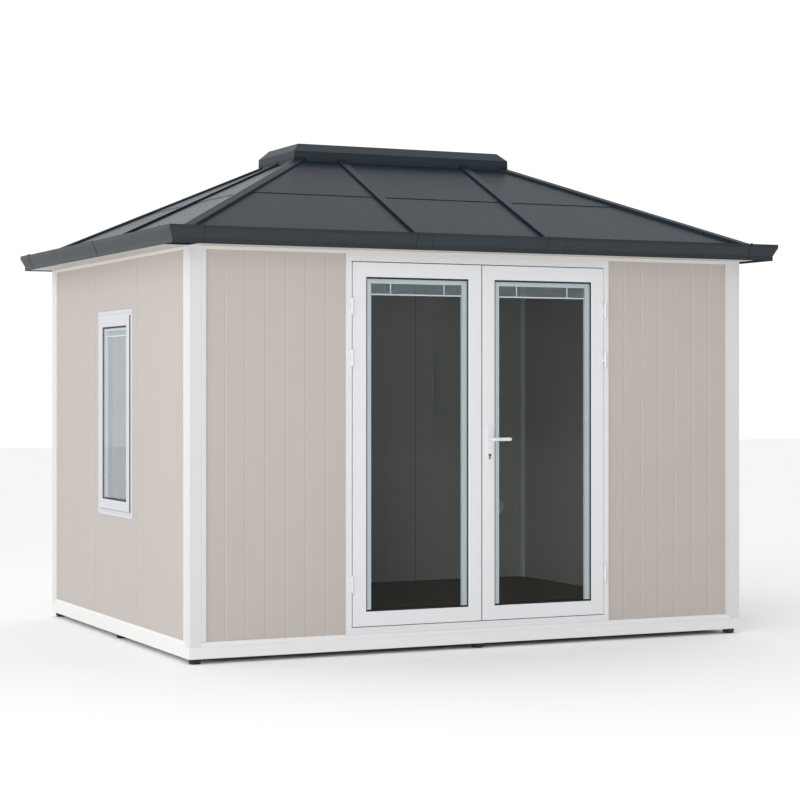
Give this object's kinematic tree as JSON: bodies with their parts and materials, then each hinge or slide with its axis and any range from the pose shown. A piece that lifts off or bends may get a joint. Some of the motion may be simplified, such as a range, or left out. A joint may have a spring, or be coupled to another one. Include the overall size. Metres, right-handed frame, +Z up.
{
  "type": "summerhouse",
  "caption": "Hipped-roof garden summerhouse with insulated panel walls, glazed double doors that open outward, a tall side window and a ridge cap.",
  "frame": {"origin": "on the ground, in the middle of the footprint", "axes": "+X along the front from left to right as seen from outside, -Y out of the doors, +Z up"},
  "size_m": [3.94, 3.1, 3.0353],
  "materials": {
    "frame_white": "powder-coated metal, satin white",
    "wall_panel": "coated sheet skin of an insulated panel, warm light grey, matt with fine upright beads",
    "door_white": "powder-coated profile, satin white",
    "window_white": "powder-coated profile, satin white",
    "roof_sheet": "coated sheet, slate grey, low gloss",
    "roof_trim": "coated sheet trim, slate grey, low gloss",
    "gutter_slate": "coated sheet gutter, dark slate grey",
    "soffit_cream": "cream coated board",
    "glazing": "clear double glazing",
    "blind_slat": "pale blue-grey coated slats and channel",
    "floor_board": "dark brown boards, matt",
    "joist_steel": "galvanised section",
    "foot_black": "black moulded plastic",
    "hinge_white": "white coated hinge",
    "handle_white": "white coated handle",
    "lock_brass": "satin brass",
    "port_white": "moulded cover, off-white",
    "rack_metal": "coated strip, pale grey"
  },
  "bodies": {
    "house": {"feet": "foot_black", "base_rails": "frame_white", "floor_joists": "joist_steel", "floor_deck": "floor_board", "corner_posts": "frame_white", "top_rails": "frame_white", "front_wall_left": "wall_panel", "front_wall_right": "wall_panel", "left_wall_front": "wall_panel", "left_wall_middle": "wall_panel", "left_wall_back": "wall_panel", "right_wall": "wall_panel", "back_wall": "wall_panel", "door_frame": "door_white", "frame_hinges": "hinge_white", "window_frame": "window_white", "window_sash": "window_white", "window_glass": "glazing", "window_blind": "blind_slat", "wall_port": "port_white", "wall_rack": "rack_metal", "roof_front": "roof_sheet", "roof_back": "roof_sheet", "roof_left": "roof_sheet", "roof_right": "roof_sheet", "roof_frame": "frame_white", "roof_ribs": "roof_trim", "hip_caps": "roof_trim", "ridge_cap": "roof_trim", "gutter_front": "gutter_slate", "gutter_back": "gutter_slate", "gutter_left": "gutter_slate", "gutter_right": "gutter_slate", "soffit": "soffit_cream"},
    "left_leaf": {"left_door": "door_white", "left_door_glass": "glazing", "left_door_blind": "blind_slat", "left_door_hinges": "hinge_white"},
    "right_leaf": {"right_door": "door_white", "right_door_glass": "glazing", "right_door_blind": "blind_slat", "right_door_hinges": "hinge_white", "handle_plates": "handle_white", "lock_cylinder": "lock_brass"},
    "handle": {"door_lever": "handle_white"}
  },
  "joints": [
    {"name": "left_door_hinge", "type": "hinge", "parent": "house", "child": "left_leaf", "pos_m": [-0.829, -1.394, 1.2], "axis": [0, 0, -1], "range_deg": [0, 110]},
    {"name": "right_door_hinge", "type": "hinge", "parent": "house", "child": "right_leaf", "pos_m": [0.829, -1.394, 1.2], "axis": [0, 0, 1], "range_deg": [0, 110]},
    {"name": "lever_turn", "type": "hinge", "parent": "right_leaf", "child": "handle", "pos_m": [0.0475, -1.361, 1.221], "axis": [0, 1, 0], "range_deg": [0, 40], "stiffness_Nm_per_rad": 1.5, "springref_deg": -28.65}
  ]
}
